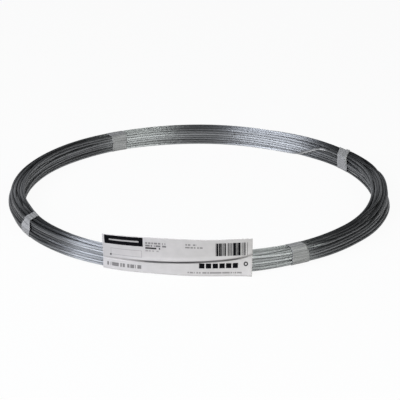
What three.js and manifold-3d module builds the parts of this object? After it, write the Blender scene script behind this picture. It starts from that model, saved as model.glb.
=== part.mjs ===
// A hand coil of galvanised steel wire, lying flat: one wire wound into columns of turns that nest in each
// other, held by four wraps of tape, with a folded paper label against its outer face.
// Millimetres, +Z up. The origin is on the floor, at the middle of the footprint.
import * as THREE from "three";
import { mergeVertices } from "three/addons/utils/BufferGeometryUtils.js";
import Module from "manifold-3d";

const wasm = await Module();
wasm.setup();

// Wire and coil
const wireDiameter = 3.43; // 10 gauge
const coilInnerDiameter = 499;
const columns = 7; // from the inner face to the outer face
const turnsHigh = 7; // in an odd column; an even one has one turn fewer
const turnGap = 0.04; // between two turns of one column
const nestGap = 0.12; // between a turn and the turns it nests against

// The wire's inner end: it comes out of the lowest turn, climbs the inner face and runs on along its top
const endLeaves = 57; // degrees round the coil
const endClimbs = 52; // where the climb begins
const endArrives = 43.5; // and where it ends
const endStops = 37.5;
const endTurn = 7; // the turn whose height it climbs to, counted from the floor
const endSink = 0.4; // how far it settles between the turns that it crosses

// Tape
const tapeWidth = 25.4;
const tapeThickness = 0.36; // two laps
const tapeGap = 0.3;
const tapeAngles = [33.8, 119, 208, 299.7];

// Label
const labelLength = 203.2;
const labelHeight = 52; // both leaves together, along the paper
const labelThickness = 0.3;
const labelGap = 0.3;
const labelAngle = 263.6; // its middle, in degrees round the coil
const foldStart = 4.65; // height of the fold at the label's first end, counted in turns from the floor
const foldEnd = 7.1; // and at its last end
const leanStart = 12; // how far the upper leaf leans outwards at the first end, in degrees
const leanEnd = 5;
const footStart = 1; // how far the lower leaf's edge stands out from the fold at the first end
const footEnd = 10.5;
const footTaper = 8; // it stands out over the last stretch of the label only
const footGap = 0.3; // between the lower leaf's edge and the floor

// Facets
const coilFacets = 60;
const arcStep = 55; // degrees
const grooveAngle = 25; // how far down its side a turn shows before the next one hides it, in degrees
const tapeFacets = 3;
const labelFacets = 16;

// Worked out from the sizes above
const wireRadius = wireDiameter / 2;
const turnPitch = wireDiameter + turnGap; // up a column
const columnPitch = Math.sqrt((wireDiameter + nestGap) ** 2 - (turnPitch / 2) ** 2);
const innerRadius = coilInnerDiameter / 2;
const halfWidth = ((columns - 1) * columnPitch) / 2; // to the outer columns' centres
const halfHeight = ((turnsHigh - 1) * turnPitch) / 2;
const middleRadius = innerRadius + wireRadius + halfWidth;
const outerRadius = middleRadius + halfWidth + wireRadius;
const facetDip = innerRadius * (1 - Math.cos(Math.PI / coilFacets)); // how far a facet's middle stands into the bore
const tapeSeat = tapeGap + facetDip;
const lowestTurn = tapeThickness + tapeSeat + wireRadius; // height of the lowest turns' centres
const middleHeight = lowestTurn + halfHeight;
const labelSeatRadius = outerRadius + labelGap + labelThickness;

const radians = THREE.MathUtils.degToRad;
const turnHeight = (turn) => lowestTurn + (turn - 1) * turnPitch;
const turnsIn = (column) => (column % 2 ? turnsHigh : turnsHigh - 1);
const atRadius = (radius, angle, height) =>
  new THREE.Vector3(radius * Math.cos(angle), radius * Math.sin(angle), height);

// Centre of one turn in the coil's section, as radius and height. Columns count from 1 and turns from 0.
function turnCentre(column, turn) {
  const radius = middleRadius - halfWidth + (column - 1) * columnPitch;
  return new THREE.Vector2(radius, middleHeight + (turn - (turnsIn(column) - 1) / 2) * turnPitch);
}

// The turns that show on the coil's outside, once round its section: floor, outer face, top, inner face.
function outsideTurns() {
  const bottom = (column) => turnCentre(column, 0);
  const top = (column) => turnCentre(column, turnsIn(column) - 1);
  const face = (column) => Array.from({ length: turnsIn(column) }, (_, turn) => turnCentre(column, turn));
  const between = Array.from({ length: columns - 2 }, (_, i) => i + 2);
  return [
    ...between.map(bottom),
    ...face(columns),
    ...between.reverse().map(top),
    ...face(1).reverse(),
  ];
}

// The section's outline: each outside turn is an arc, and a short step bridges the groove to the next one.
function coilOutline() {
  const centres = outsideTurns();
  const outline = [];
  centres.forEach((centre, i) => {
    const before = centres.at(i - 1).clone().sub(centre).angle() + radians(grooveAngle);
    const after = centres[(i + 1) % centres.length].clone().sub(centre).angle() - radians(grooveAngle);
    const sweep = THREE.MathUtils.euclideanModulo(after - before, 2 * Math.PI);
    const steps = Math.max(1, Math.round(sweep / radians(arcStep)));
    for (let step = 0; step <= steps; step++) {
      const angle = before + (sweep * step) / steps;
      outline.push(new THREE.Vector2(Math.cos(angle), Math.sin(angle)).multiplyScalar(wireRadius).add(centre));
    }
  });
  return [...outline, outline[0].clone()];
}

// A closed geometry as a solid that can be joined to another.
function solidOf(geometry) {
  const bare = geometry.clone().deleteAttribute("normal").deleteAttribute("uv");
  const merged = mergeVertices(bare, 1e-4);
  return new wasm.Manifold(
    new wasm.Mesh({
      numProp: 3,
      vertProperties: merged.attributes.position.array,
      triVerts: new Uint32Array(merged.index.array),
    }),
  );
}

function geometryOf(solid) {
  const { vertProperties, triVerts } = solid.getMesh();
  const geometry = new THREE.BufferGeometry();
  geometry.setAttribute("position", new THREE.BufferAttribute(vertProperties, 3));
  geometry.setIndex(new THREE.BufferAttribute(triVerts, 1));
  return geometry;
}

// The inner end's line, from inside the lowest turn to its tip.
class WireEndLine extends THREE.Curve {
  getPoint(t) {
    const angle = THREE.MathUtils.lerp(endLeaves, endStops, t);
    const out = 1 - THREE.MathUtils.smoothstep(angle, endClimbs, endLeaves);
    const up = 1 - THREE.MathUtils.smoothstep(angle, endArrives, endClimbs);
    const radius = innerRadius + wireRadius - out * (wireDiameter - endSink);
    const height = THREE.MathUtils.lerp(turnHeight(1), turnHeight(endTurn), up);
    return atRadius(radius, radians(angle), height);
  }
}

// Part of a circle round the coil's axis.
class RingArc extends THREE.Curve {
  constructor(radius, height, from, to) {
    super();
    Object.assign(this, { radius, height, from, to });
  }
  getPoint(t) {
    return atRadius(this.radius, THREE.MathUtils.lerp(this.from, this.to, t), this.height);
  }
}

function makeCoil() {
  const turned = new THREE.LatheGeometry(coilOutline(), coilFacets).rotateX(Math.PI / 2);
  const wireSection = new THREE.Shape().absarc(0, 0, wireRadius, 0, 2 * Math.PI);
  const wireEnd = new THREE.ExtrudeGeometry(wireSection, {
    extrudePath: new WireEndLine(),
    steps: 28,
    curveSegments: 8,
  });
  return geometryOf(solidOf(turned).add(solidOf(wireEnd)));
}

// A rounded oblong whose corners turn about the coil's corner turns. X runs up the section and Y across it.
function oblong(cornerRadius) {
  const shape = new THREE.Shape();
  const corners = [
    [halfHeight, halfWidth],
    [-halfHeight, halfWidth],
    [-halfHeight, -halfWidth],
    [halfHeight, -halfWidth],
  ];
  corners.forEach(([x, y], i) => {
    shape.absarc(x, y, cornerRadius, (i * Math.PI) / 2, ((i + 1) * Math.PI) / 2);
  });
  return shape;
}

// One wrap of tape round the coil's section.
function makeTape(angle) {
  const section = oblong(wireRadius + tapeSeat + tapeThickness);
  section.holes.push(oblong(wireRadius + tapeSeat));
  const halfTurn = tapeWidth / 2 / outerRadius;
  return new THREE.ExtrudeGeometry(section, {
    extrudePath: new RingArc(middleRadius, middleHeight, radians(angle) - halfTurn, radians(angle) + halfTurn),
    steps: tapeFacets,
    curveSegments: 3,
  });
}

// The front of the label's section at one place along its length: the top edge, the fold and the lower edge.
function labelFront(along) {
  const foldHeight = turnHeight(THREE.MathUtils.lerp(foldStart, foldEnd, along));
  const lean = radians(THREE.MathUtils.lerp(leanStart, leanEnd, along));
  const reach = THREE.MathUtils.lerp(footStart, footEnd, along ** footTaper);
  const drop = foldHeight - footGap;
  const upper = labelHeight - Math.hypot(reach, drop);
  return [
    new THREE.Vector2(labelSeatRadius + upper * Math.sin(lean), foldHeight + upper * Math.cos(lean)),
    new THREE.Vector2(labelSeatRadius, foldHeight),
    new THREE.Vector2(labelSeatRadius + reach, footGap),
  ];
}

// A closed skin over equal loops of points, with a flat cap on each end.
function skin(loops) {
  const size = loops[0].length;
  const index = [];
  for (let row = 0; row < loops.length - 1; row++) {
    for (let i = 0; i < size; i++) {
      const next = (i + 1) % size;
      const a = row * size + i;
      const b = row * size + next;
      index.push(a, b, a + size, b, b + size, a + size);
    }
  }
  const last = (loops.length - 1) * size;
  for (let i = 0; i < size / 2 - 1; i++) {
    const far = size - 1 - i;
    index.push(i, far, i + 1, far, far - 1, i + 1);
    index.push(last + i, last + i + 1, last + far, last + far, last + i + 1, last + far - 1);
  }
  const geometry = new THREE.BufferGeometry().setFromPoints(loops.flat());
  return geometry.setIndex(index);
}

function makeLabel() {
  const loops = Array.from({ length: labelFacets + 1 }, (_, facet) => {
    const along = facet / labelFacets;
    const fromMiddle = labelLength * (along - 0.5);
    const front = labelFront(along);
    const back = front.map((point) => new THREE.Vector2(point.x - labelThickness, point.y)).reverse();
    return [...front, ...back].map(({ x, y }) => atRadius(x, radians(labelAngle) + fromMiddle / x, y));
  });
  return skin(loops);
}

const galvanised = { color: 0xa9adb0, roughness: 0.38, metalness: 0.9 };
const tapeFilm = { color: 0xc9cccd, roughness: 0.45, metalness: 0 };
const paper = { color: 0xeeeeec, roughness: 0.8, metalness: 0 };

function named(name, geometry, finish) {
  geometry.computeVertexNormals();
  const mesh = new THREE.Mesh(geometry, new THREE.MeshStandardMaterial(finish));
  mesh.name = name;
  return mesh;
}

const coil = new THREE.Group();
coil.name = "coil_of_wire_rod";
coil.add(named("wire_coil", makeCoil(), galvanised));
const tapeNames = ["tape_back_right", "tape_back_left", "tape_front_left", "tape_front_right"];
tapeNames.forEach((name, i) => coil.add(named(name, makeTape(tapeAngles[i]), tapeFilm)));
coil.add(named("paper_label", makeLabel(), paper));

export default coil;
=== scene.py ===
"""Looks of a hand coil of galvanised steel wire that lies flat: the wire itself, wound turn by turn into a
bundle, four wraps of strapping tape, and a folded paper label. Lengths are millimetres until a mesh is made,
and angles are degrees round the coil, from its right end, counterclockwise from above."""

import math

import bpy
import numpy as np
from mathutils import Matrix, Vector


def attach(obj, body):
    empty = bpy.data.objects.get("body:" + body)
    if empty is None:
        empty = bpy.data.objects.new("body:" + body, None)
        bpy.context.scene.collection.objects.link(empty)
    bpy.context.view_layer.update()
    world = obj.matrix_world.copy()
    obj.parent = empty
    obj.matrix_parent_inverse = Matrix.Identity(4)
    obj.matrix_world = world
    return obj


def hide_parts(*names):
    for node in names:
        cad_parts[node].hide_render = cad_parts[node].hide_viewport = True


MM = 0.001  # metres
SEED = 11

# The coil, as the CAD has it
WIRE_DIAMETER = 3.43
COLUMNS = 7
TURNS_HIGH = 7  # in an odd column; an even one has one turn fewer
TURN_PITCH = 3.47
COLUMN_PITCH = 3.0971
MIDDLE_RADIUS = 260.51
LOWEST_TURN = 2.717  # height of the lowest turns' centres

# How the wire is wound
EMPTY_PLACES = (7, 10, 16, 22, 25, 29, 33, 36)  # counted in the order of winding
STATIONS = 216  # round one turn
WIRE_SIDES = 10
CUT_BEVEL = 0.45
SHIFT_START = 58.0  # where each turn begins to move on to the next place in the section
SHIFT_SPAN = 28.0
TIP_STATIONS = 16  # the inner end runs back this far from there, and under a tape wrap
TIP_LEAVES = 52.5  # where it leaves the lowest turn to climb the inner face
TIP_ARRIVES = 43.0  # where it has climbed
TIP_TURN = 7  # the turn whose height it climbs to, counted from the floor
TIP_STANDS_IN = 0.95  # wire diameters that it stands in from the first column
TIP_JOINS_PAST = 1.0  # how far past TIP_LEAVES it begins to come back into the column
TIP_JOIN_SPAN = 12.0
TUCKED_STATIONS = 14  # the outer end stops this far short of a full last turn, under the same wrap

# How far the turns stray from their places
WANDER = 1.1  # how far a turn strays by itself
WANDER_UP = 0.7  # share of that in height
WANDER_WAVES = 7
WANDER_RATES = (0.45, 3.2)  # of these waves, for each turn
DRIFT = 3.4  # how far it strays together with its neighbours
DRIFT_WAVES = 8
DRIFT_RATES = (1, 4)  # of these waves, round the coil: from the first up to below the second
CREVICE_SPACING = (8.5, 15.0)  # between the crevices that this leaves
TAPE_HOLD = 0.75  # share of the straying that a wrap keeps a turn from
CORNER_HOLD = 0.75  # share that the floor keeps it from in the section's lower inner corner
TIDY_SHARE = 0.35  # share that is left where the bundle is tightest
TIP_STRAY = 0.2  # share that is left on the inner end

# How the section lies round the coil: angle, how far its top leans in and its underside out, how far all of
# it is shifted out, how much higher its top is, and how loose the turns are
LIE = (
    (0, 1.7, -2.2, 0.4, 1.0),
    (10, 1.2, 0.2, 0.6, 0.9),
    (25, -0.6, 1.2, 1.0, 0.6),
    (45, -1.9, 1.7, 1.4, 0.4),
    (65, -1.2, 0.8, 1.3, 0.25),
    (85, 0.0, 0.0, 0.3, 0.1),
    (110, 0.0, 0.3, 0.0, 0.3),
    (135, 0.4, 0.6, 0.8, 0.75),
    (150, 1.0, -0.2, 0.8, 0.95),
    (170, 1.4, -1.4, 0.0, 1.0),
    (188, 0.7, -0.9, 0.2, 0.85),
    (205, 1.9, -0.2, 0.2, 0.65),
    (222, 2.0, 0.4, 0.6, 0.5),
    (233, 1.2, 0.8, 0.6, 0.4),
    (241, 0.0, 0.0, 0.0, 0.3),
    (262, 0.0, 0.0, 0.0, 0.1),
    (284, 0.0, 0.0, 0.0, 0.6),
    (290, 0.5, 0.9, 0.3, 0.6),
    (302, 1.2, 1.7, 0.8, 0.5),
    (325, 1.8, 0.6, 0.9, 0.7),
    (345, 3.0, -2.6, 0.8, 1.0),
)
SHARE_MARGIN = 1.0  # past the outermost turns' centres
NARROWING = 0.12  # how much narrower the section is where the bundle is loosest
ROUNDING = 0.55  # how far the section's corners are drawn in there
TIGHT_ROUNDING = 0.15  # share of that where it is tightest
INNER_ROUNDING = 0.3  # share of that in the inner half
ROUNDED_SIZE = 0.95  # of a fully rounded section, against a plain one
TAPE_SQUEEZE = 0.10  # how much tighter the bundle is under a wrap
SQUEEZE_REACH = 7.0  # degrees
LABEL_HOLD_FADES = 9.0  # degrees past the label's ends

# How the turns settle
SETTLE_ROUNDS = 170
CALM_ROUNDS = 24  # the last of them, in which no turn is drawn to its place any more
PULL = 0.05  # share of the way to its place that a turn moves in a round
STIFFNESS = 0.55  # share of the way to halfway between the stations before and after it
CALM_STIFFNESS = 0.25
TURN_GAP = 0.02
PUSHES = 2  # in a round
PUSH_SHARE = 0.8  # of the way apart that a push moves two turns
SMOOTH_ROUNDS = 3
FLOOR_CLEARANCE = 0.5  # under the lowest turns, for the wraps
PLAY_OUT = 0.45  # how far turns may lie past the bundle's own width and height
PLAY_IN = 0.5
PLAY_UP = 0.5
SPREAD_OUT = 0.8  # and how much further where nothing holds them
SPREAD_IN = 0.9
SPREAD_UP = 2.2
TIP_FREE = 2  # stations of the inner end that may move, where it joins the first turn
TIP_PASSES = 12  # stations of the first turn that may still stand in there
UNUSED = 1e4  # where a station is put that the wire doesn't pass, far from everything
UNUSED_APART = 50.0  # between such places of two turns

# Tape wraps: node, angle, how many degrees further round it lies on the outer face, and on top, than in the
# middle of the bundle, the share of its width that it loses on top, where it is gathered, and how high it is
# crumpled there, which also paints its top paler as painted light
TAPES = (
    ("tape_back_right", 33.8, 2.0, 0.0, 0.12, 1.0),
    ("tape_back_left", 119.0, 0.0, 0.0, 0.0, 0.0),
    ("tape_front_left", 207.0, 1.3, 0.5, 0.35, 0.2),
    ("tape_front_right", 299.7, 0.0, 0.0, 0.1, 0.0),
)
TAPE_WIDTH = 25.4
TAPE_THICKNESS = 0.26
TAPE_COLUMNS = 19
TAPE_ROWS = 220  # once round the bundle
TAPE_TURNS = 1.32  # round the bundle, from the middle of the underside
TAPE_LIES_OFF = 0.06
TAPE_LEAST_OFF = 0.05
TAPE_DEEPEST = 0.96  # share of the gap to the nearest wire that it may sink
SAG = 0.42  # how far it sinks between turns
SAG_GAP = 0.8  # the gap at which it has done most of that
LAP_SAG = 0.75  # share of that where it lies on its own start
LAP_OFF = 0.03
LAP_SPAN = 0.035  # turns over which it rises on to its own start, and over which its cut edge lifts
CUT_LIFT = 0.55
CRINKLE = 0.05
CRINKLE_WAVES = ((61, 2.3), (23, -1.7))  # radians for each turn, and from the middle to an edge
CRUMPLE_WAVES = ((150, 4), (60, -9))
EDGE_WAVER = 0.22  # how far its two edges run to and fro
EDGE_WAVES = (9, 11)  # radians for each turn
ANY_START = (0, 6.28)  # where these waves may start
TAPE_ROW_SPACING = 0.4  # of its UVs
DRAPE_STEP = 10  # degrees between the points of a wire's outline that the film touches
DRAPE_POINTS = 720
UNDERSIDE = 4.0  # what lies this far below the middle of the section is its underside

# Label. Its first end is the left one.
LABEL_LENGTH = 203.2
LABEL_HEIGHT = 52.0
LABEL_THICKNESS = 0.2
LABEL_ANGLE = 263.6
LABEL_SEAT = 272.11  # radius of the fold
LABEL_OFF = 1.0  # how far the leaves stand off from there
LABEL_COLUMNS = 121
FOLD_LOW = 15.4  # height of the fold at the first end
FOLD_CLIMB = 7.2  # how much higher it is at the other end, before it turns up
FOLD_BOW = 1.2  # the higher, the later it climbs
FOLD_KICK = 4.3  # how far it turns up
FOLD_KICK_LATE = 14  # the higher, the later it does
FOLD_ZONE = 3.0  # rows lie close together this far up and down from it
UPPER_ROWS = 26
FOLD_ROWS = 31
LOWER_ROWS = 18
LEAN_START = 12.0  # degrees that the upper leaf leans out at the first end, and at the other
LEAN_END = 4.5
LEAN_EASES = 4  # the higher, the sooner it eases off
FOOT_START = 1.0  # how far out the lower leaf's foot stands at the first end, and at the other
FOOT_END = 10.5
FOOT_TAPER = 8  # the higher, the later it moves out
FOOT_BOW = 1.35  # the higher, the steeper the leaf starts down from the fold
FOOT_GAP = 0.3
FOOT_ARCH = 1.2  # how far its foot bends up from the floor, from the first end on
ARCH_ENDS = 0.8  # share of the length
LIP = 1.9  # how far the upper leaf's lower edge bulges over the fold
LIP_ABOVE = 5.0  # how far up and down from the fold the bulge is felt
LIP_BELOW = 0.7
POCKET_ABOVE = 1.7  # how far up and down from its middle the slit under the lip reaches
POCKET_HEIGHT = 1.35
POCKET_LOW = 0.15  # how far below the fold its middle is
POCKET_LEAST = 0.15  # share of the lip and the slit that is there all along the label
POCKET_FADES = 0.35  # share of the length, at either end, over which the rest fades
POCKET_LEFT = 0.35  # share of the rest that is left at the other end
SLIT_OPENS = (0.2, 0.37)  # shares of the length between which the painted shade in the slit comes up
SLIT_CLOSES = 0.14  # share of the length, at the other end, over which it fades
SLIT_LEFT = 0.25  # share that is left of it there
# A leaf's wave: how far, radians for the length, its start, and how far from the fold it is in full
UPPER_WAVE = (0.25, 9, 1, 20)
LOWER_WAVE = (0.2, 14, 0, 12)

# Print on the label, which is generic: left, right, low, high, in millimetres from the sheet's lower left
# corner, and how dark it is
HEADING = (3.1, 57.6, 37.6, 50.9, 1.0)
HEADING_RULE = (10, 52, 43.2, 45.4, 0.75)  # how pale, in the heading
EMPTY_BOX = (12, 56, 21.5, 31.5, 0.35)
BOX_LINE = 0.7
DOT = (10.5, 13.0, 20.0, 22.6, 0.9)
BARS = (154, 196.5, 28.0, 46.6, 1.0)
BLOCKS = 6
BLOCK = (132, 139.2, 10.6, 17.4, 1.0)
BLOCK_PITCH = 8.9
RING_MIDDLE = (194.3, 16.0)
RING_RADIUS = 2.2
RING_LINE = 0.9  # half its width
RING_DARKNESS = 0.9
SMALL_PRINT = (
    (61, 88, 42.2, 44.8, 0.6),
    (61, 89, 38.4, 41.0, 0.65),
    (61, 81, 34.8, 37.4, 0.9),
    (61, 79, 31.0, 33.2, 0.35),
    (114, 129, 43.0, 45.2, 0.55),
    (114, 137, 39.0, 41.2, 0.55),
    (6, 57, 4.8, 9.8, 0.62),
    (117, 189, 3.5, 5.6, 0.5),
)
PRINT_STEP = 1.1  # small print and bars are stripes of this step, inked at random
PRINT_SHARE = 0.72  # of them that is inked
PRINT_SHIFT = 40.5  # sets one line's order off from the next one's
BAR_STEP = 0.5
BAR_SHIFT = 7
BAR_SHARES = (0.32, 0.6)  # the least share that is inked, and how much more it may be
CROWD_STEP = 1.7  # the step in which that share changes
# how dark the painted shade in the slit under the lip is
PAINTED_SLIT_DARKNESS = 0.85

# Zinc
DULL_ZINC = (0.205, 0.209, 0.217, 1)
BRIGHT_ZINC = (0.390, 0.398, 0.412, 1)
# rubbed zinc at the inner end, and the painted highlight where it is bent over
GLINT_AND_RUBBED_ZINC = (0.90, 0.91, 0.93, 1)
ZINC_STOPS = (0.38, 0.62)  # of the noise, at which it is dull and bright
PATCH_SCALE = 14  # for each metre
LUSTRE_RATE = 0.5  # patches of bright and dull zinc along the wire, for each metre
LUSTRE_START = 8.9
LUSTRE_SHARE = 0.65  # against the patches
STREAK_SCALE = (60, 14, 1)  # along the wire, for each metre, and round it
CREVICE_DEPTH = 1.0  # millimetres of room to the next turn over which painted shade gives way to a painted highlight
# painted shade deep in the crevices, and a slight painted highlight on the crests
CREVICE_PAINTED_SHADE = 0.18
CREST_PAINTED_LIGHT = 1.07
RUB_AND_GLINT_LENGTH = 0.10  # metres from the inner end
RUB_AND_GLINT = (  # share of that length, and how much the zinc is rubbed bright there; the peak is a painted highlight where the end is bent over
    (0.0, 0.15),
    (0.35, 0.15),
    (0.39, 1.0),
    (0.47, 1.0),
    (0.52, 0.1),
    (0.59, 0.5),
    (0.84, 0.45),
    (1.0, 0.0),
)

# Tape film and paper
TIGHT_FILM = (0.262, 0.258, 0.258, 1)
LOOSE_FILM = (0.36, 0.354, 0.354, 1)
LOOSE_FILM_GAP = 0.9  # the gap to the nearest wire at which it looks so
FILM_CLOUDS = 140  # for each metre
FILM_ALPHA = (0.68, 0.80)
PAPER = (0.455, 0.431, 0.429, 1)
PALE_PAPER = (0.492, 0.467, 0.465, 1)
PAPER_FIBRES = 90  # for each metre
INK = (0.004, 0.004, 0.005, 1)

# Light: a tall softbox to the left and one to the right of the camera, a broad weak panel behind it, and a
# dim room with a paler wall behind the coil. Each lamp has its place, the way its long side runs, its size in
# metres, its watts and its tint.
LEFT_LIGHT = ((-1.48, -0.98, 1.29), (-0.24, -0.74, -0.63), (1.9, 1.7), 65, (0.885, 0.925, 1.0))
RIGHT_LIGHT = ((1.26, -1.40, 1.13), (0.20, -0.55, -0.81), (1.35, 1.6), 33.5, (0.955, 1.0, 0.94))
FRONT_LIGHT = ((0.0, -3.3, 0.8), (0.0, 0.0, 1.0), (5.0, 1.5), 15, (1.0, 1.0, 1.0))
WORLD_COLOUR = (0.97, 0.98, 1.0, 1)
WORLD_STRENGTH = 0.035
WALL_STRENGTH = 0.42  # how much paler the wall is, and how that changes to the right
WALL_LEAN = -0.5
WALL_SIDES = (0.7, 0.9)  # the wall fades in between these shares of a way that points back
WALL_TOP = (0.48, 0.24)  # and between these shares of a way that points up
FLOOR_SIZE = 24  # metres
FLOOR_COLOUR = (0.60, 0.60, 0.60, 1)
FLOOR_WHITE = 0.94  # share of the floor's look that is plain white; the rest shows the shadow

# Camera: a long lens far off, so that the coil's ellipse has the photograph's proportions
CAMERA_ELEVATION = 20.64
CAMERA_DISTANCE = 3062.0  # from the middle of the coil
CAMERA_LENS = 192.5
CAMERA_SENSOR = 36
CAMERA_CLIP = (0.05, 100)  # metres
CAMERA_AIM = (1.3, -9.16)  # what the frame's centre looks at: right of the coil's middle, and above it

WIRE_RADIUS = WIRE_DIAMETER / 2
HALF_WIDTH = (COLUMNS - 1) * COLUMN_PITCH / 2
HALF_HEIGHT = (TURNS_HIGH - 1) * TURN_PITCH / 2
MIDDLE_HEIGHT = LOWEST_TURN + HALF_HEIGHT
LABEL_SPAN = math.degrees(LABEL_LENGTH / LABEL_SEAT)
STEP = 360 / STATIONS


def smooth(t):
    """0 below 0, 1 above 1, and an even curve between them."""
    t = np.clip(t, 0.0, 1.0)
    return t * t * (3 - 2 * t)


def bell(distance, width, steepness=2):
    """1 at no distance, and near 0 past a width or two."""
    return np.exp(-((distance / width) ** steepness))


def turn_of(angle, centre):
    """Signed degrees from centre to angle."""
    return (np.asarray(angle) - centre + 180) % 360 - 180


# ---------------------------------------------------------------- the wire's route


def turn_height(turn):
    """Height of a turn's centre in the first column, where turns are counted from the floor."""
    return LOWEST_TURN + (turn - 1) * TURN_PITCH


def winding_places():
    """Places of the turns in the section, in the order of winding: up one column, then down the next. Each is
    how far out from the bundle's middle, and how high above it."""
    places = []
    for column in range(1, COLUMNS + 1):
        turns = TURNS_HIGH - (column + 1) % 2
        out = (column - (COLUMNS + 1) / 2) * COLUMN_PITCH
        stack = [(out, (k - (turns - 1) / 2) * TURN_PITCH) for k in range(turns)]
        places += stack if column % 2 else stack[::-1]
    return np.delete(np.array(places), EMPTY_PLACES, axis=0)


def wander(travel, rng, size):
    """A smooth random curve along the wire. travel is in turns."""
    total = np.zeros_like(travel)
    for _ in range(WANDER_WAVES):
        rate = rng.uniform(*WANDER_RATES)
        total += np.sin(2 * np.pi * (travel * rate + rng.uniform())) / math.sqrt(rate)
    return size * total / math.sqrt(WANDER_WAVES)


def drift(place, angle, rng):
    """Strays of whole groups of turns: waves across the section that press turns together and draw them
    apart, and change round the coil."""
    moved = np.zeros_like(place)
    for _ in range(DRIFT_WAVES):
        heading = rng.uniform(0, 2 * np.pi)
        way = np.array([np.cos(heading), np.sin(heading)])
        rate = rng.integers(*DRIFT_RATES) * rng.choice([-1, 1])
        phase = place @ way * 2 * np.pi / rng.uniform(*CREVICE_SPACING) + rate * np.radians(angle)
        moved += way * np.sin(phase + rng.uniform(0, 2 * np.pi))[:, None]
    return DRIFT * moved / math.sqrt(DRIFT_WAVES)


def squeeze_at(angle):
    """1 in the middle of a tape wrap, falling to 0 away from it."""
    return sum(bell(turn_of(angle, tape[1]), SQUEEZE_REACH) for tape in TAPES)


def lie_at(angle):
    """How the section leans, is shifted out and is lifted at each angle, and how loose it is."""
    around, *columns = zip(*LIE)
    return [np.interp(angle, around, column, period=360) for column in columns]


def freedom(angle):
    """0 where a tape or the label holds the bundle in shape, rising to 1 away from them."""
    held_to = LABEL_SPAN / 2 + LABEL_HOLD_FADES
    under_label = smooth((held_to - np.abs(turn_of(angle, LABEL_ANGLE))) / LABEL_HOLD_FADES)
    return np.clip(1 - squeeze_at(angle) - under_label, 0, 1)


def tip_route(station):
    """Where the inner end lies: along the lowest turn, then up the inner face and on beside the top turn."""
    angle = SHIFT_START + station * STEP
    apart = 1 - smooth((angle - TIP_LEAVES - TIP_JOINS_PAST) / TIP_JOIN_SPAN)
    climb = 1 - np.clip((angle - TIP_ARRIVES) / (TIP_LEAVES - TIP_ARRIVES), 0, 1)
    climb[1:-1] = (climb[:-2] + 2 * climb[1:-1] + climb[2:]) / 4
    height = (1 - climb) * turn_height(1) + climb * turn_height(TIP_TURN) - MIDDLE_HEIGHT
    return np.stack([-HALF_WIDTH - WIRE_DIAMETER * TIP_STANDS_IN * apart, height], 1)


def packed_route(station, turn, degrees):
    """Where each station lies in the plain section: in its turn's place, or on the way there."""
    places = winding_places()
    last = len(places) - 1
    tip = tip_route(station)
    here = places[np.clip(turn, 0, last)]
    before = np.where((turn <= 0)[:, None], tip, places[np.clip(turn - 1, 0, last)])
    route = before + (here - before) * smooth(degrees / SHIFT_SPAN)[:, None]
    route[turn < 0] = tip[turn < 0]
    return route


def strays(route, travel, angle, loose, rng):
    """How far each station strays from its place."""
    stray = np.stack([wander(travel, rng, WANDER), wander(travel, rng, WANDER * WANDER_UP)], 1)
    stray += drift(route, angle, rng)
    stray *= ((1 - TAPE_HOLD * squeeze_at(angle)) * (TIDY_SHARE + (1 - TIDY_SHARE) * loose))[:, None]
    across, high = shares(route)
    corner = np.sqrt(np.clip(-across, 0, 1) * np.clip(-high, 0, 1))
    stray *= (1 - CORNER_HOLD * corner)[:, None]
    stray[travel < 0] *= TIP_STRAY
    return stray


def shares(route):
    """How far out and how high each place is, as shares of a little more than half the section."""
    return route[:, 0] / (HALF_WIDTH + SHARE_MARGIN), route[:, 1] / (HALF_HEIGHT + SHARE_MARGIN)


def shape_section(route, turn, angle):
    """Rounds, narrows, leans, shifts and lifts the section, and tightens it under the wraps. The first turn
    is only tightened, so that the inner end still meets it."""
    tilt, shifted, lift, loose = lie_at(angle)
    across, high = shares(route)
    # A square's points go on to a disc where each way is shortened by how far the point is along the other.
    other_way = np.clip(np.stack([high, across], 1), -1, 1)
    rounded = route * ROUNDED_SIZE * np.sqrt(1 - other_way**2 / 2)
    rounding = ROUNDING * (TIGHT_ROUNDING + (1 - TIGHT_ROUNDING) * loose)
    rounding *= np.where(across < 0, INNER_ROUNDING, 1.0)
    wound = turn > 0
    route[wound] += ((rounded - route) * rounding[:, None])[wound]
    route[wound, 0] *= 1 - NARROWING * loose[wound]
    route[wound, 0] += (shifted - tilt * high)[wound]
    route[wound, 1] += (lift * (1 + high) / 2)[wound]
    on_coil = turn >= 0
    route[on_coil] *= (1 - TAPE_SQUEEZE * squeeze_at(angle)[on_coil])[:, None]


def wished_route(rng):
    """Where each station of the wire would lie if nothing were in its way, its turn and its angle. Turns are
    counted from 0, and the inner end is in turn -1."""
    station = np.arange(-TIP_STATIONS, len(winding_places()) * STATIONS - TUCKED_STATIONS)
    travel = station / STATIONS
    turn = np.floor(travel).astype(int)
    degrees = (travel - turn) * 360
    angle = SHIFT_START + degrees
    route = packed_route(station, turn, degrees)
    *_, loose = lie_at(angle)
    stray = strays(route, travel, angle, loose, rng)
    shape_section(route, turn, angle)
    return route + stray, turn, angle


def push_apart(grid, pairs):
    """Moves turns that enter each other away from each other."""
    first, second = pairs
    apart = grid[first] - grid[second]
    gap = np.sqrt((apart**2).sum(-1)) + 1e-9
    push = np.clip(WIRE_DIAMETER + TURN_GAP - gap, 0, None) * 0.5 / gap
    move = apart * push[..., None]
    shove = np.zeros_like(grid)
    np.add.at(shove, first, move)
    np.add.at(shove, second, -move)
    grid += shove * PUSH_SHARE


def straighten(route, share):
    """Moves each station towards halfway between the ones before and after it."""
    route[1:-1] += share * ((route[:-2] + route[2:]) / 2 - route[1:-1])


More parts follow.
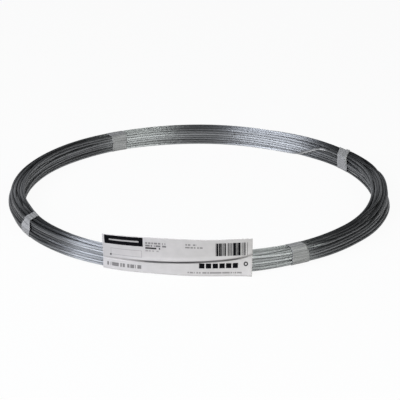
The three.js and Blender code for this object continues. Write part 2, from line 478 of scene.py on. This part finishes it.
def settle(wish, turn, angle):
    """Lets the turns settle: each is drawn to its wished place, resists sharp bends, and can't enter another.
    The result is a grid of turns and stations, and the slice of its stations in a row that the wire uses."""
    rows = turn.max() + 2
    grid = np.full((rows, STATIONS, 2), UNUSED)
    grid[:, :, 0] += np.arange(rows)[:, None] * UNUSED_APART
    first = STATIONS - TIP_STATIONS
    used = slice(first, first + len(wish))
    route = grid.reshape(-1, 2)[used]
    route[:] = wish
    tilt, shifted, _, _ = lie_at(angle)
    free = freedom(angle)
    lowest = WIRE_RADIUS + FLOOR_CLEARANCE - MIDDLE_HEIGHT
    highest = HALF_HEIGHT + PLAY_UP + SPREAD_UP * free
    most_out = HALF_WIDTH + PLAY_OUT + SPREAD_OUT * free
    most_in = -HALF_WIDTH - PLAY_IN - SPREAD_IN * free
    fixed = slice(0, TIP_STATIONS - TIP_FREE)
    wound = slice(TIP_STATIONS + TIP_PASSES, None)
    pairs = np.triu_indices(rows, 1)
    for step in range(SETTLE_ROUNDS):
        calm = step >= SETTLE_ROUNDS - CALM_ROUNDS
        if not calm:
            route += PULL * (wish - route)
        straighten(route, CALM_STIFFNESS if calm else STIFFNESS)
        for _ in range(PUSHES):
            push_apart(grid, pairs)
            route[:, 1] = np.clip(route[:, 1], lowest, highest)
            lie = shifted - tilt * route[:, 1] / HALF_HEIGHT
            route[:, 0] = np.minimum(route[:, 0], most_out + lie)
            route[fixed] = wish[fixed]
            route[wound, 0] = np.maximum(route[wound, 0], (most_in + lie)[wound])
    for _ in range(SMOOTH_ROUNDS):
        straighten(route, 0.5)
    return grid, used


# ---------------------------------------------------------------- meshes


def mesh_piece(name, points, faces, material, uvs):
    """A smooth mesh in the row frame from points in millimetres, with one uv for each face's corner."""
    mesh = bpy.data.meshes.new(name)
    mesh.from_pydata((np.asarray(points) * MM).tolist(), [], [list(map(int, face)) for face in faces])
    layer = mesh.uv_layers.new(name="UVMap")
    layer.data.foreach_set("uv", np.asarray(uvs, np.float32).ravel())
    mesh.polygons.foreach_set("use_smooth", [True] * len(mesh.polygons))
    mesh.update()
    piece = bpy.data.objects.new(name, mesh)
    bpy.context.scene.collection.objects.link(piece)
    piece.data.materials.append(material)
    return piece


def add_attribute(piece, name, values):
    """Gives each point of a piece a number that its material reads."""
    attribute = piece.data.attributes.new(name, "FLOAT", "POINT")
    attribute.data.foreach_set("value", np.asarray(values).ravel().astype(np.float32))


def in_space(out, up, angle):
    """Points from their place in the section and their angle round the coil, in degrees."""
    radius = MIDDLE_RADIUS + np.asarray(out)
    turn = np.radians(angle)
    places = np.broadcast_arrays(radius * np.cos(turn), radius * np.sin(turn), up + MIDDLE_HEIGHT)
    return np.stack(places, -1)


def make_wire(grid, used, material):
    """The whole wire as one closed tube."""
    route = grid.reshape(-1, 2)[used]
    station = np.arange(used.start, used.stop)
    centre = in_space(route[:, 0], route[:, 1], SHIFT_START + (station % STATIONS) * STEP)
    along = np.gradient(centre, axis=0)
    along /= np.linalg.norm(along, axis=1)[:, None]
    side = np.cross(along, (0, 0, 1.0))
    side /= np.linalg.norm(side, axis=1)[:, None]
    rise = np.cross(side, along)

    # There is a ring at each station, and one more at each cut end, which is slightly rounded over.
    at = np.concatenate([[0], np.arange(len(route)), [len(route) - 1]])
    push = np.zeros(len(at))
    push[1], push[-2] = CUT_BEVEL, -CUT_BEVEL
    radius = np.full(len(at), WIRE_RADIUS)
    radius[[0, -1]] -= CUT_BEVEL
    middle = centre[at] + along[at] * push[:, None]
    turns = np.arange(WIRE_SIDES)[None, :, None] * 2 * np.pi / WIRE_SIDES
    spoke = side[at][:, None] * np.cos(turns) + rise[at][:, None] * np.sin(turns)
    points = middle[:, None] + spoke * radius[:, None, None]

    faces, uvs = tube_faces(middle)
    piece = mesh_piece("wire", points.reshape(-1, 3), faces, material, uvs)
    add_attribute(piece, "room", room_around(grid, station[at], points))
    return piece


def tube_faces(middle):
    """Faces and UVs of a closed tube round a line of points: u runs along it, in metres, and v round it."""
    count = len(middle)
    lengths = np.linalg.norm(np.diff(middle, axis=0), axis=1)
    travelled = np.concatenate([[0], np.cumsum(lengths)])[:, None] * MM
    ring = np.arange(count - 1)[:, None] * WIRE_SIDES
    k = np.arange(WIRE_SIDES)[None]
    k2 = (k + 1) % WIRE_SIDES
    quads = np.stack([ring + k, ring + k2, ring + WIRE_SIDES + k2, ring + WIRE_SIDES + k], -1)
    edges = (travelled[:-1], travelled[1:], k / WIRE_SIDES, (k + 1) / WIRE_SIDES)
    here, there, low, high = np.broadcast_arrays(*edges)
    uv = np.stack([here, low, here, high, there, high, there, low], -1)
    faces = quads.reshape(-1, 4).tolist()
    uvs = uv.reshape(-1, 2).tolist()
    first_cap = list(range(WIRE_SIDES))[::-1]
    last_cap = [(count - 1) * WIRE_SIDES + i for i in range(WIRE_SIDES)]
    for cap in (first_cap, last_cap):
        faces.append(cap)
        uvs += [(0.0, 0.0)] * WIRE_SIDES
    return faces, uvs


def room_around(grid, station, points):
    """How far each point of the tube is from the nearest other turn, given the station of each ring."""
    turn = station // STATIONS
    out = np.hypot(points[..., 0], points[..., 1]) - MIDDLE_RADIUS
    up = points[..., 2] - MIDDLE_HEIGHT
    nearest = np.full(out.shape, UNUSED)
    for other, centres in enumerate(grid):
        centre = centres[station % STATIONS]
        room = np.hypot(out - centre[:, :1], up - centre[:, 1:]) - WIRE_RADIUS
        room[turn == other] = UNUSED
        nearest = np.minimum(nearest, room)
    return nearest


def turns_at(grid, angle):
    """Where the turns' centres are in the section at an angle, as an array of pairs."""
    place = ((angle - SHIFT_START) / STEP) % STATIONS
    low = int(place) % STATIONS
    part = place - int(place)
    here = grid[:, low]
    there = grid[:, (low + 1) % STATIONS]
    if low == STATIONS - 1:
        there = np.roll(there, -1, axis=0)
    both = (here[:, 0] < UNUSED / 2) & (there[:, 0] < UNUSED / 2)
    return (here * (1 - part) + there * part)[both]


def hull(points):
    """The convex hull of points in a plane, counterclockwise."""
    ordered = sorted(map(tuple, points))

    def chain(items):
        kept = []
        for p in items:
            while len(kept) > 1:
                (ax, ay), (bx, by) = kept[-2], kept[-1]
                if (bx - ax) * (p[1] - ay) - (by - ay) * (p[0] - ax) > 0:
                    break
                kept.pop()
            kept.append(p)
        return kept[:-1]

    return np.array(chain(ordered) + chain(ordered[::-1]))


def draped(centres):
    """A film pulled tight round the turns: points spaced evenly round it from the middle of its underside,
    how far each is from the nearest wire, and the way out from the bundle there."""
    circle = np.radians(np.arange(0, 360, DRAPE_STEP))
    dots = centres[:, None] + WIRE_RADIUS * np.stack([np.cos(circle), np.sin(circle)], -1)[None]
    loop = hull(dots.reshape(-1, 2))
    middle = loop.mean(0)
    loop = np.vstack([loop, loop[:1]])
    length = np.concatenate([[0], np.cumsum(np.linalg.norm(np.diff(loop, axis=0), axis=1))])
    fine = np.linspace(0, length[-1], DRAPE_POINTS + 1)[:-1]
    ring = np.stack([np.interp(fine, length, loop[:, i]) for i in (0, 1)], -1)
    below = ring[:, 1] < middle[1] - UNDERSIDE
    start = np.argmin(np.where(below, np.abs(ring[:, 0] - middle[0]), np.inf))
    ring = np.roll(ring, -start, axis=0)
    along = np.roll(ring, -1, axis=0) - np.roll(ring, 1, axis=0)
    along /= np.linalg.norm(along, axis=1)[:, None] + 1e-9
    out = np.stack([along[:, 1], -along[:, 0]], -1)
    clear = np.sqrt(((ring[:, None] - centres[None]) ** 2).sum(-1)).min(1) - WIRE_RADIUS
    pick = (np.arange(TAPE_ROWS) * DRAPE_POINTS / TAPE_ROWS).astype(int)
    return ring[pick], clear[pick], out[pick]


def film_waves(waves, turn, offset, phase):
    """Uneven waves along and across a wrap, from -1 to 1."""
    (rate, across), (other_rate, other_across) = waves
    first = np.sin(turn * rate + phase[0] + offset * across)
    return first * np.sin(turn * other_rate + phase[1] + offset * other_across)


def film_height(turn, offset, clear, phase):
    """How far the film's underside lies from the hull of the turns, which is clear of them by so much."""
    sag = SAG * (1 - np.exp(-clear / SAG_GAP))
    sag = np.where(turn > 1, sag * LAP_SAG, sag)
    over = smooth((turn - 1 + LAP_SPAN) / LAP_SPAN) * (TAPE_THICKNESS + LAP_OFF)
    lift = CUT_LIFT * np.clip((turn - TAPE_TURNS + LAP_SPAN) / LAP_SPAN, 0, 1) ** 2
    crinkle = CRINKLE * film_waves(CRINKLE_WAVES, turn, offset, phase)
    return np.maximum(TAPE_LIES_OFF + over + lift + crinkle - sag, TAPE_LEAST_OFF - clear * TAPE_DEEPEST)


def make_tape(tape, grid, material, rng):
    """One wrap: a strip that goes once round the bundle and on over its own start, ending in a cut edge."""
    node, angle, lean_out, lean_up, gathered, crumpled = tape
    reach = TAPE_WIDTH / 2
    half_turn = math.degrees(reach / MIDDLE_RADIUS)
    offsets = np.linspace(-1, 1, TAPE_COLUMNS)
    rows = np.arange(int(TAPE_ROWS * TAPE_TURNS) + 1)
    turn = rows / TAPE_ROWS
    phase = rng.uniform(*ANY_START, 4)
    inner, outer, gap = [], [], []
    for offset in offsets:
        across = draped(turns_at(grid, angle + offset * half_turn))
        loop, clear, out = (kind[rows % TAPE_ROWS] for kind in across)
        top = smooth(loop[:, 1] / HALF_HEIGHT)
        height = film_height(turn, offset, clear, phase)
        height = height + crumpled * top * (0.5 + 0.5 * film_waves(CRUMPLE_WAVES, turn, offset, phase))
        edge = int(offset >= 0)
        waver = EDGE_WAVER * np.sin(turn * EDGE_WAVES[edge] + phase[2 + edge])
        aside = offset * half_turn + math.degrees(1 / MIDDLE_RADIUS) * waver * abs(offset) ** 3
        for sheet, extra in ((inner, 0.0), (outer, TAPE_THICKNESS)):
            spot = loop + out * (height + extra)[:, None]
            lean = lean_out * spot[:, 0] / HALF_WIDTH + lean_up * spot[:, 1] / HALF_HEIGHT
            sheet.append(in_space(spot[:, 0], spot[:, 1], angle + aside * (1 - gathered * top) + lean))
        # painted light: a crumpled wrap's top is made paler
        gap.append(clear + crumpled * top)
    u = (offsets[:, None] + 1) * reach
    v = rows[None] * TAPE_ROW_SPACING
    points, faces, uvs = shell(np.array(outer), np.array(inner), u, v)
    piece = mesh_piece(node + "_wrap", points, faces, material, uvs)
    add_attribute(piece, "bridging_and_painted_top_light", [gap, gap])
    return piece


def shell(front, back, u, v):
    """A closed sheet from two grids of points that lie a thickness apart. front faces out where its columns
    run to the left of its rows; u and v are the columns' and rows' places on the sheet, in millimetres."""
    columns, rows, _ = front.shape
    points = np.concatenate([front.reshape(-1, 3), back.reshape(-1, 3)])
    half = columns * rows
    c, r = np.meshgrid(np.arange(columns - 1), np.arange(rows - 1), indexing="ij")
    a = (c * rows + r).ravel()
    front_faces = np.stack([a, a + rows, a + rows + 1, a + 1], -1)
    back_faces = front_faces[:, ::-1] + half
    rim = [(i * rows, (i + 1) * rows) for i in range(columns - 1)]
    rim += [((columns - 1) * rows + i, (columns - 1) * rows + i + 1) for i in range(rows - 1)]
    rim += [(i * rows + rows - 1, (i - 1) * rows + rows - 1) for i in range(columns - 1, 0, -1)]
    rim += [(i, i - 1) for i in range(rows - 1, 0, -1)]
    rim_faces = np.array([(end, start, start + half, end + half) for start, end in rim])
    faces = np.concatenate([front_faces, back_faces, rim_faces])
    place = np.stack(np.broadcast_arrays(u, v), -1).reshape(-1, 2) * MM
    return points, faces, np.concatenate([place, place])[faces.ravel()]


def label_rows(lower):
    """How far down the sheet each row is from the fold, for each column's height of the lower leaf."""
    upper = LABEL_HEIGHT - lower
    above = -upper + (upper - FOLD_ZONE) * np.linspace(0, 1, UPPER_ROWS)
    fold = np.linspace(-FOLD_ZONE, FOLD_ZONE, FOLD_ROWS)[None, 1:-1].repeat(len(lower), axis=0)
    below = FOLD_ZONE + (lower - FOLD_ZONE) * np.linspace(0, 1, LOWER_ROWS)
    return np.concatenate([above, fold, below], 1)


def leaf_wave(wave, along, past):
    """How far a leaf stands out in waves along it."""
    size, rate, start, grown = wave
    return size * np.sin(along * rate + start) * smooth(past / grown)


def fold_relief(along, past):
    """How far the sheet stands out at the fold: the upper leaf's edge bulges, and the slit lies in."""
    fading = POCKET_LEFT + (1 - POCKET_LEFT) * smooth((1 - along) / POCKET_FADES)
    depth = smooth(along / POCKET_FADES) * fading + POCKET_LEAST
    bulge = LIP * bell(np.clip(-past, 0, None), LIP_ABOVE) * bell(np.clip(past, 0, None), LIP_BELOW)
    into = past - POCKET_LOW
    pocket = (LABEL_OFF + LIP) * np.where(into < 0, bell(into, POCKET_ABOVE), bell(into, POCKET_HEIGHT, 4))
    return depth * (bulge - pocket)


def painted_slit_shade(along, past):
    """How much painted shade lies in the slit under the lip."""
    start, full = SLIT_OPENS
    opened = smooth((along - start) / (full - start))
    opened = opened * (SLIT_LEFT + (1 - SLIT_LEFT) * smooth((1 - along) / SLIT_CLOSES))
    return bell(past - POCKET_LOW, POCKET_HEIGHT, 4) * opened


def make_label(material):
    """One sheet, folded lengthwise: its lower leaf goes down to the floor, and its upper one leans out."""
    along = np.linspace(0, 1, LABEL_COLUMNS)[:, None]
    fold_height = FOLD_LOW + FOLD_CLIMB * along**FOLD_BOW + FOLD_KICK * along**FOLD_KICK_LATE
    lean = np.radians(LEAN_END + (LEAN_START - LEAN_END) * (1 - along) ** LEAN_EASES)
    foot = FOOT_START + (FOOT_END - FOOT_START) * along**FOOT_TAPER
    foot_height = FOOT_GAP + FOOT_ARCH * np.sin(np.pi * np.clip(along / ARCH_ENDS, 0, 1)) ** 2
    drop = fold_height - foot_height
    lower = np.hypot(foot, drop)
    past = label_rows(lower)
    down = np.clip(past, 0, None) / lower
    on_upper = past < 0
    stands_out = np.where(on_upper, -past * np.sin(lean), foot * down**FOOT_BOW)
    height = np.where(on_upper, fold_height - past * np.cos(lean), fold_height - drop * down)
    wave = leaf_wave(UPPER_WAVE, along, -past) + leaf_wave(LOWER_WAVE, along, past)
    radius = LABEL_SEAT + LABEL_OFF + stands_out + wave + fold_relief(along, past)
    angle = LABEL_ANGLE + np.degrees((along - 0.5) * LABEL_LENGTH / radius)
    front = in_space(radius - MIDDLE_RADIUS, height - MIDDLE_HEIGHT, angle)
    back = in_space(radius - LABEL_THICKNESS - MIDDLE_RADIUS, height - MIDDLE_HEIGHT, angle)
    up = (lower - past)[:, ::-1]
    points, faces, uvs = shell(front[:, ::-1], back[:, ::-1], along * LABEL_LENGTH, up)
    piece = mesh_piece("label", points, faces, material, uvs)
    add_attribute(piece, "printed", np.repeat([1.0, 0.0], len(points) // 2))
    # painted shade in the slit under the lip, kept in the pocket attribute
    painted_shade = painted_slit_shade(along, past)[:, ::-1]
    add_attribute(piece, "pocket", [painted_shade, painted_shade])
    return piece


# ---------------------------------------------------------------- materials


def plug(tree, node, inputs):
    """Sets a node's inputs, each to a value or to the output that feeds it."""
    for name, value in inputs.items():
        if isinstance(value, bpy.types.NodeSocket):
            tree.links.new(value, node.inputs[name])
        else:
            node.inputs[name].default_value = value


def add_node(tree, kind, inputs=None, **settings):
    node = tree.nodes.new("ShaderNode" + kind)
    for name, value in settings.items():
        setattr(node, name, value)
    plug(tree, node, inputs or {})
    return node


def calc(tree, operation, *values):
    return add_node(tree, "Math", dict(enumerate(values)), operation=operation).outputs[0]


def map_range(tree, value, start, end, low=0.0, high=1.0):
    inputs = {"Value": value, "From Min": start, "From Max": end, "To Min": low, "To Max": high}
    return add_node(tree, "MapRange", inputs).outputs["Result"]


def ramp(tree, factor, stops):
    """A colour ramp. Each stop is its position and its colour."""
    node = add_node(tree, "ValToRGB", {"Fac": factor})
    elements = node.color_ramp.elements
    for number, (position, colour) in enumerate(stops):
        element = elements[number] if number < 2 else elements.new(1.0)
        element.position = position
        element.color = colour
    return node.outputs["Color"]


def mix_colour(tree, share, first, second):
    inputs = {"Factor": share, "A": first, "B": second}
    return add_node(tree, "Mix", inputs, data_type="RGBA").outputs["Result"]


def new_material(name):
    material = bpy.data.materials.new(name)
    material.use_nodes = True
    return material, material.node_tree, material.node_tree.nodes["Principled BSDF"]


def zinc_colour(tree, place, length):
    """Dull and bright zinc, in patches and along the wire."""
    patches = add_node(tree, "TexNoise", {"Vector": place, "Scale": PATCH_SCALE, "Detail": 5})
    onward = calc(tree, "ADD", length, LUSTRE_START)
    inputs = {"W": onward, "Scale": LUSTRE_RATE, "Detail": 1}
    lustre = add_node(tree, "TexNoise", inputs, noise_dimensions="1D")
    inputs = {"Factor": LUSTRE_SHARE, "A": patches.outputs["Fac"], "B": lustre.outputs["Fac"]}
    blend = add_node(tree, "Mix", inputs).outputs["Result"]
    return ramp(tree, blend, zip(ZINC_STOPS, (DULL_ZINC, BRIGHT_ZINC)))


def rub_bright_and_paint_glint(tree, colour, length):
    """The wire's inner end is rubbed bright, and a painted highlight makes it near white where it is bent
    over.
    """
    reach = calc(tree, "DIVIDE", length, RUB_AND_GLINT_LENGTH)
    # rubbed wear, and a painted highlight where the end is bent over
    rub_and_glint_share = ramp(tree, reach, [(spot, (share, share, share, 1)) for spot, share in RUB_AND_GLINT])
    return mix_colour(tree, rub_and_glint_share, colour, GLINT_AND_RUBBED_ZINC)


def paint_crevice_shade(tree, colour):
    """Painted shade deep between two turns, and a slight painted highlight on the crest of one."""
    room = add_node(tree, "Attribute", attribute_name="room").outputs["Fac"]
    # painted shade in the crevices, rising to a slight painted highlight on the crests
    painted_shade = map_range(tree, room, 0.0, CREVICE_DEPTH, CREVICE_PAINTED_SHADE, CREST_PAINTED_LIGHT)
    return add_node(tree, "VectorMath", {0: colour, "Scale": painted_shade}, operation="SCALE").outputs["Vector"]


def zinc():
    """Galvanised wire, with fine drawing marks along it."""
    material, tree, shader = new_material("galvanised_wire")
    place = add_node(tree, "TexCoord")
    length = add_node(tree, "SeparateXYZ", {0: place.outputs["UV"]}).outputs[0]
    colour = zinc_colour(tree, place.outputs["Object"], length)
    colour = rub_bright_and_paint_glint(tree, colour, length)
    colour = paint_crevice_shade(tree, colour)
    stretch = add_node(tree, "Mapping", {"Vector": place.outputs["UV"], "Scale": STREAK_SCALE})
    inputs = {"Vector": stretch.outputs["Vector"], "Scale": 1.0, "Detail": 4}
    streaks = add_node(tree, "TexNoise", inputs).outputs["Fac"]
    bump = add_node(tree, "Bump", {"Height": streaks, "Strength": 0.08, "Distance": 0.0001})
    looks = {
        "Base Color": colour,
        "Metallic": 0.95,
        "Roughness": map_range(tree, streaks, 0.0, 1.0, 0.47, 0.51),
        "Anisotropic": 1.0,
        "Anisotropic Rotation": 0.25,
        "Tangent": add_node(tree, "Tangent", direction_type="UV_MAP").outputs["Tangent"],
        "Normal": bump.outputs["Normal"],
    }
    plug(tree, shader, looks)
    return material


def film():
    """Strapping tape that can be seen through a little: clouded, milkier where it lies on nothing, and
    painted paler on a crumpled top as painted light.
    """
    material, tree, shader = new_material("strapping_tape")
    place = add_node(tree, "TexCoord")
    inputs = {"Vector": place.outputs["Object"], "Scale": FILM_CLOUDS, "Detail": 3}
    clouds = add_node(tree, "TexNoise", inputs).outputs["Fac"]
    # milkier where the film bridges, and painted light on a crumpled top
    gap = add_node(tree, "Attribute", attribute_name="bridging_and_painted_top_light").outputs["Fac"]
    looks = {
        "Base Color": ramp(tree, gap, [(0.0, TIGHT_FILM), (LOOSE_FILM_GAP, LOOSE_FILM)]),
        "Roughness": 0.40,
        "Alpha": map_range(tree, clouds, 0.35, 0.65, *FILM_ALPHA),
    }
    plug(tree, shader, looks)
    return material


def label_print(tree, place):
    """How dark the print is: bars, rules and blocks that spell nothing."""
    parts = add_node(tree, "SeparateXYZ", {0: place}).outputs
    u = calc(tree, "DIVIDE", parts[0], MM)
    v = calc(tree, "DIVIDE", parts[1], MM)

    def block(left, right, low, high, darkness):
        across = calc(tree, "COMPARE", u, (left + right) / 2, (right - left) / 2)
        upward = calc(tree, "COMPARE", v, (low + high) / 2, (high - low) / 2)
        return calc(tree, "MULTIPLY", calc(tree, "MULTIPLY", across, upward), darkness)

    def any_share(step, shift):
        """A random share for each step along the sheet."""
        number = calc(tree, "ADD", calc(tree, "FLOOR", calc(tree, "DIVIDE", u, step)), shift)
        return add_node(tree, "TexWhiteNoise", {"W": number}, noise_dimensions="1D").outputs["Value"]

    def stripes(step, share, shift):
        """1 or 0 for each step along the sheet, in an irregular order."""
        return calc(tree, "LESS_THAN", any_share(step, shift), share)

    left, right, low, high, darkness = EMPTY_BOX
    inside = block(left + BOX_LINE, right - BOX_LINE, low + BOX_LINE, high - BOX_LINE, darkness)
    marks = [
        calc(tree, "SUBTRACT", block(*HEADING), block(*HEADING_RULE)),
        calc(tree, "SUBTRACT", block(*EMPTY_BOX), inside),
        block(*DOT),
    ]
    for number, line in enumerate(SMALL_PRINT):
        inked = stripes(PRINT_STEP, PRINT_SHARE, PRINT_SHIFT * number)
        marks.append(calc(tree, "MULTIPLY", block(*line), inked))
    least, more = BAR_SHARES
    crowding = calc(tree, "MULTIPLY_ADD", any_share(CROWD_STEP, 0), more, least)
    marks.append(calc(tree, "MULTIPLY", block(*BARS), stripes(BAR_STEP, crowding, BAR_SHIFT)))
    for number in range(BLOCKS):
        left, right, *rest = BLOCK
        onward = number * BLOCK_PITCH
        marks.append(block(left + onward, right + onward, *rest))
    from_middle = [calc(tree, "SUBTRACT", way, middle) for way, middle in zip((u, v), RING_MIDDLE)]
    squares = [calc(tree, "POWER", distance, 2) for distance in from_middle]
    distance = calc(tree, "POWER", calc(tree, "ADD", *squares), 0.5)
    ring = calc(tree, "COMPARE", distance, RING_RADIUS, RING_LINE)
    marks.append(calc(tree, "MULTIPLY", ring, RING_DARKNESS))
    total = marks[0]
    for mark in marks[1:]:
        total = calc(tree, "MAXIMUM", total, mark)
    return total


def paper():
    """Label stock, printed on its front, with painted shade in its slit."""
    material, tree, shader = new_material("label_paper")
    place = add_node(tree, "UVMap").outputs["UV"]
    fibres = add_node(tree, "TexNoise", {"Vector": place, "Scale": PAPER_FIBRES, "Detail": 4}).outputs["Fac"]
    body = ramp(tree, fibres, [(0.3, PAPER), (0.7, PALE_PAPER)])
    front = add_node(tree, "Attribute", attribute_name="printed").outputs["Fac"]
    # painted shade in the slit under the lip
    painted_slit = add_node(tree, "Attribute", attribute_name="pocket").outputs["Fac"]
    ink = calc(tree, "MULTIPLY", label_print(tree, place), front)
    ink_and_painted_shade = calc(tree, "MAXIMUM", ink, calc(tree, "MULTIPLY", painted_slit, PAINTED_SLIT_DARKNESS))
    looks = {
        "Base Color": mix_colour(tree, ink_and_painted_shade, body, INK),
        "Roughness": 0.8,
        "Specular IOR Level": 0.03,
    }
    plug(tree, shader, looks)
    return material


# ---------------------------------------------------------------- floor, light and camera


def make_floor():
    """A pale floor that is almost plain white where it is seen, also in reflections, and keeps the shadow."""
    bpy.ops.mesh.primitive_plane_add(size=FLOOR_SIZE, location=(0, 0, 0))
    floor = bpy.context.object
    floor.name = "floor"
    material, tree, shader = new_material("floor")
    plug(tree, shader, {"Base Color": FLOOR_COLOUR, "Roughness": 1.0, "Specular IOR Level": 0.0})
    path = add_node(tree, "LightPath").outputs
    seen = calc(tree, "MAXIMUM", path["Is Camera Ray"], path["Is Glossy Ray"])
    clear = calc(tree, "MAXIMUM", seen, path["Is Transmission Ray"])
    share = calc(tree, "MULTIPLY", clear, FLOOR_WHITE)
    white = add_node(tree, "Emission", {"Strength": 1.0}).outputs["Emission"]
    both = add_node(tree, "MixShader", {0: share, 1: shader.outputs["BSDF"], 2: white})
    plug(tree, tree.nodes["Material Output"], {"Surface": both.outputs["Shader"]})
    floor.data.materials.append(material)


def make_room():
    """A dim room with a paler wall behind the coil, lit from the left; both ends of the coil show it."""
    world = bpy.data.worlds.new("studio")
    bpy.context.scene.world = world
    world.use_nodes = True
    tree = world.node_tree
    place = add_node(tree, "TexCoord")
    way = add_node(tree, "SeparateXYZ", {0: place.outputs["Generated"]}).outputs
    behind = map_range(tree, way[1], *WALL_SIDES)
    low = map_range(tree, way[2], *WALL_TOP)
    wall = calc(tree, "MULTIPLY", behind, low)
    lit = calc(tree, "MULTIPLY_ADD", way[0], WALL_LEAN, WALL_STRENGTH)
    strength = calc(tree, "MULTIPLY_ADD", wall, lit, WORLD_STRENGTH)
    plug(tree, tree.nodes["Background"], {"Color": WORLD_COLOUR, "Strength": strength})


def add_area(name, place, along, size, watts, tint):
    """An area lamp that faces the coil."""
    light = bpy.data.lights.new(name, "AREA")
    light.shape = "RECTANGLE"
    light.size, light.size_y = size
    light.energy = watts
    light.color = tint
    back = (Vector(place) - Vector((0, 0, MIDDLE_HEIGHT * MM))).normalized()
    across = Vector(along).cross(back).normalized()
    lamp = bpy.data.objects.new(name, light)
    lamp.matrix_world = Matrix((across, back.cross(across), back)).transposed().to_4x4()
    lamp.location = place
    bpy.context.scene.collection.objects.link(lamp)


def make_camera():
    data = bpy.data.cameras.new("camera")
    data.lens = CAMERA_LENS
    data.sensor_width = CAMERA_SENSOR
    data.clip_start, data.clip_end = CAMERA_CLIP
    camera = bpy.data.objects.new("camera", data)
    rise = math.radians(CAMERA_ELEVATION)
    back = Vector((0, -math.cos(rise), math.sin(rise)))
    up = Vector((0, math.sin(rise), math.cos(rise)))
    middle = Vector((0, 0, MIDDLE_HEIGHT))
    aim = middle + Vector((1, 0, 0)) * CAMERA_AIM[0] + up * CAMERA_AIM[1]
    place = middle + back * CAMERA_DISTANCE
    camera.location = place * MM
    camera.rotation_euler = (aim - place).to_track_quat("-Z", "Y").to_euler()
    bpy.context.scene.collection.objects.link(camera)
    bpy.context.scene.camera = camera


def add_piece(piece, node):
    """Puts a piece on the part's only body, in the place of its CAD node."""
    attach(piece, "root")
    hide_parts(node)


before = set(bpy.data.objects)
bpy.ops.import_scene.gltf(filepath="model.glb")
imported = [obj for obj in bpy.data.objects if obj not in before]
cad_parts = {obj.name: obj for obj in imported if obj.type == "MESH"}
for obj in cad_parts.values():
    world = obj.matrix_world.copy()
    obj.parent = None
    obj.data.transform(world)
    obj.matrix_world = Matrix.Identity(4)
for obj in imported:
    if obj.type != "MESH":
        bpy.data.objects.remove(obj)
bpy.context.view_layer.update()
bpy.context.scene.view_settings.view_transform = "Standard"
make_camera()
make_floor()
make_room()
add_area("left_softbox", *LEFT_LIGHT)
add_area("right_softbox", *RIGHT_LIGHT)
add_area("front_panel", *FRONT_LIGHT)

rng = np.random.default_rng(SEED)
grid, used = settle(*wished_route(rng))
add_piece(make_wire(grid, used, zinc()), "wire_coil")
tape_material = film()
for tape in TAPES:
    add_piece(make_tape(tape, grid, tape_material, rng), tape[0])
add_piece(make_label(paper()), "paper_label")

bpy.context.view_layer.update()
